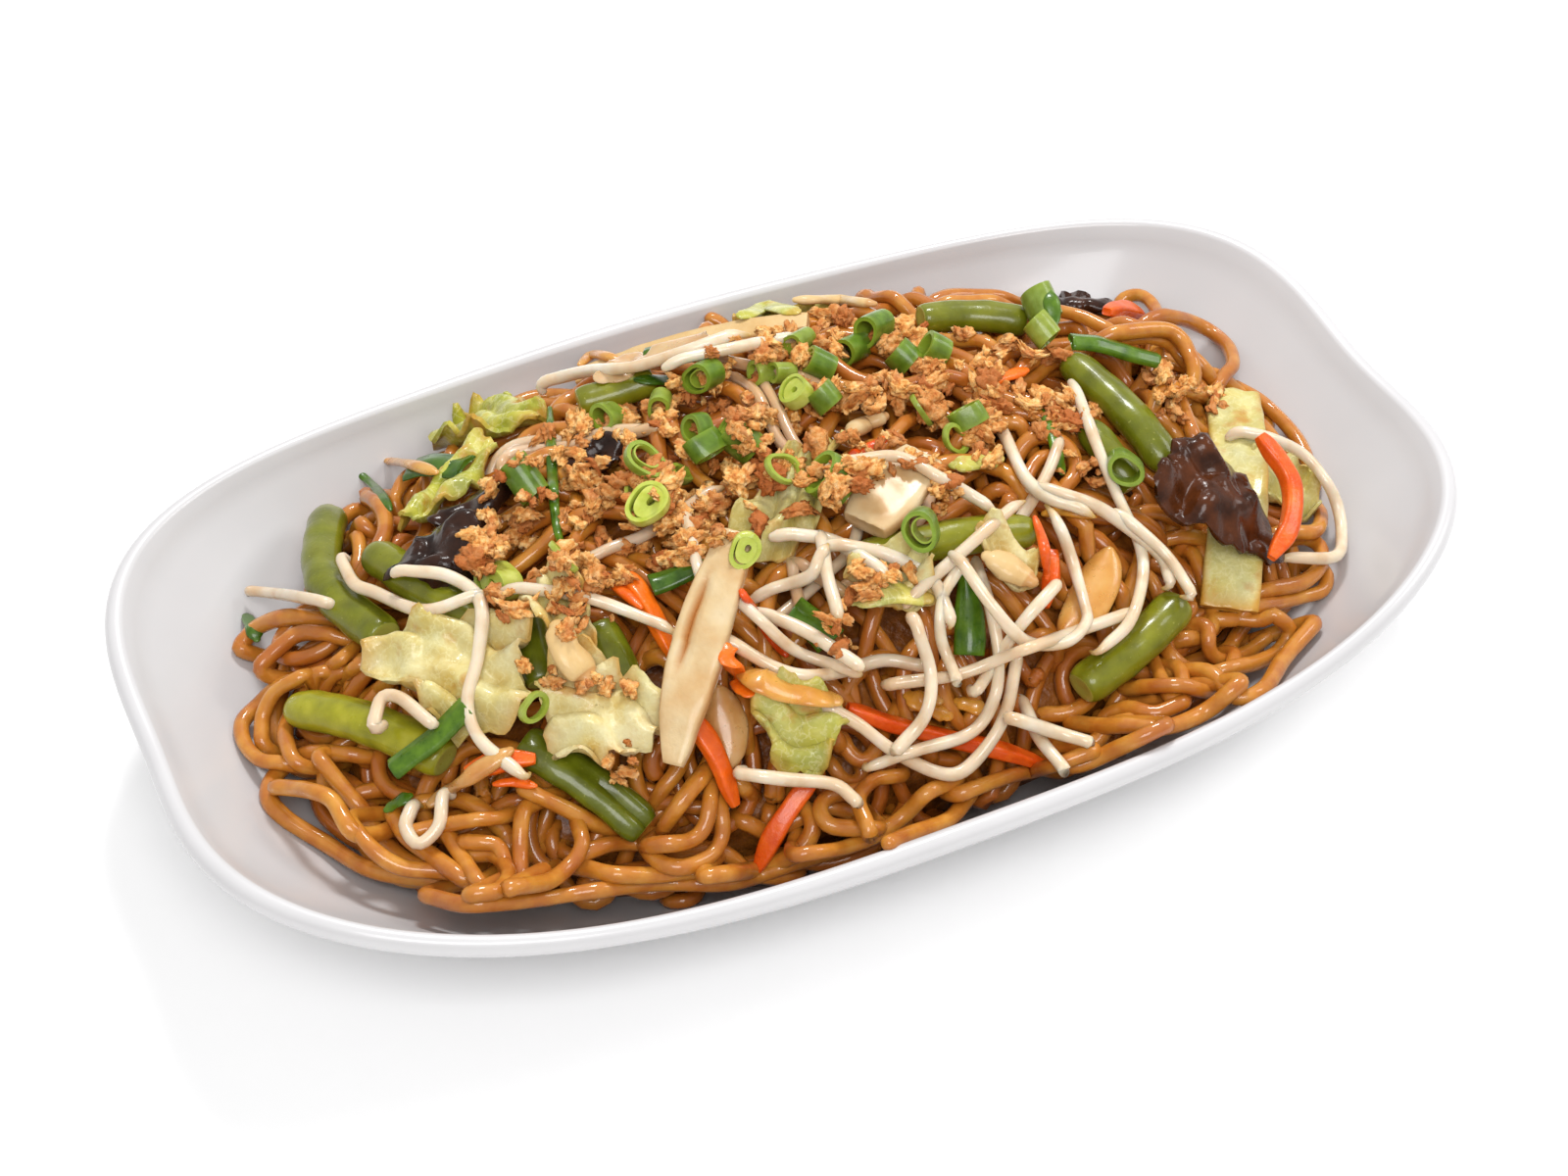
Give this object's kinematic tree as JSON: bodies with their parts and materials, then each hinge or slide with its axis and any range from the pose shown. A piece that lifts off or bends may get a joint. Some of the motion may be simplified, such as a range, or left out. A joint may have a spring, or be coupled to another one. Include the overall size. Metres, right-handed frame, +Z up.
{
  "type": "stir-fried noodles on a platter",
  "caption": "Heap of stir-fried wheat noodles with green beans, cabbage, carrot, wood ear, sprouts and fried crumbs, on an oblong white platter with a waved rim.",
  "frame": {"origin": "on the table, under the middle of the platter's outline", "axes": "+X along the platter's length, +Y across it to the far side, +Z up"},
  "size_m": [0.2954, 0.1776, 0.0783],
  "materials": {
    "platter": "smooth white, satin gloss",
    "noodle": "cooked wheat noodle, glossy with brown sauce",
    "bean": "cooked green bean skin, glossy",
    "ear": "wood ear mushroom, dark and wet",
    "cabbage": "pale green cabbage leaf, moist",
    "stem": "white cabbage stem, moist",
    "carrot": "carrot shreds, moist",
    "onion": "cooked onion, see-through amber",
    "leaf": "dark green scallion leaf",
    "scallion": "cut scallion, fresh green"
  },
  "bodies": {
    "root": {"platter": "platter", "noodles": "noodle", "bean_bent": "bean", "bean_left": "bean", "bean_front_left": "bean", "bean_front": "bean", "bean_mid": "bean", "bean_centre": "bean", "bean_right": "bean", "bean_back_a": "bean", "bean_back_b": "bean", "bean_far": "bean", "bean_far_left": "bean", "bean_low": "bean", "strip_right": "cabbage", "onion_front": "onion", "onion_low": "onion", "onion_right": "onion", "ear_left_top": "ear", "ear_left": "ear", "ear_right": "ear", "ear_far": "ear", "ear_mid": "ear", "cabbage_front_left": "cabbage", "cabbage_front": "cabbage", "cabbage_centre": "cabbage", "cabbage_right": "cabbage", "cabbage_far": "cabbage", "leek_left": "cabbage", "leek_left_low": "cabbage", "leek_front": "cabbage", "cabbage_mid": "cabbage", "cabbage_mid_right": "cabbage", "cabbage_pale": "cabbage", "stem_front": "stem", "stem_mid": "stem", "stem_far": "stem", "carrot_low": "carrot", "carrot_front": "carrot", "carrot_long": "carrot", "carrot_left": "carrot", "carrot_mid": "carrot", "carrot_right": "carrot", "carrot_mid_right": "carrot", "carrot_far": "carrot", "leaf_left": "leaf", "leaf_mid": "leaf", "leaf_centre": "leaf", "leaf_square": "leaf", "leaf_low": "leaf", "chive_far": "leaf", "leaf_far": "leaf", "scallion_left": "scallion", "scallion_pale": "scallion", "scallion_low": "scallion", "scallion_top": "scallion", "scallion_front": "scallion", "scallion_far": "scallion"}
  },
  "joints": []
}
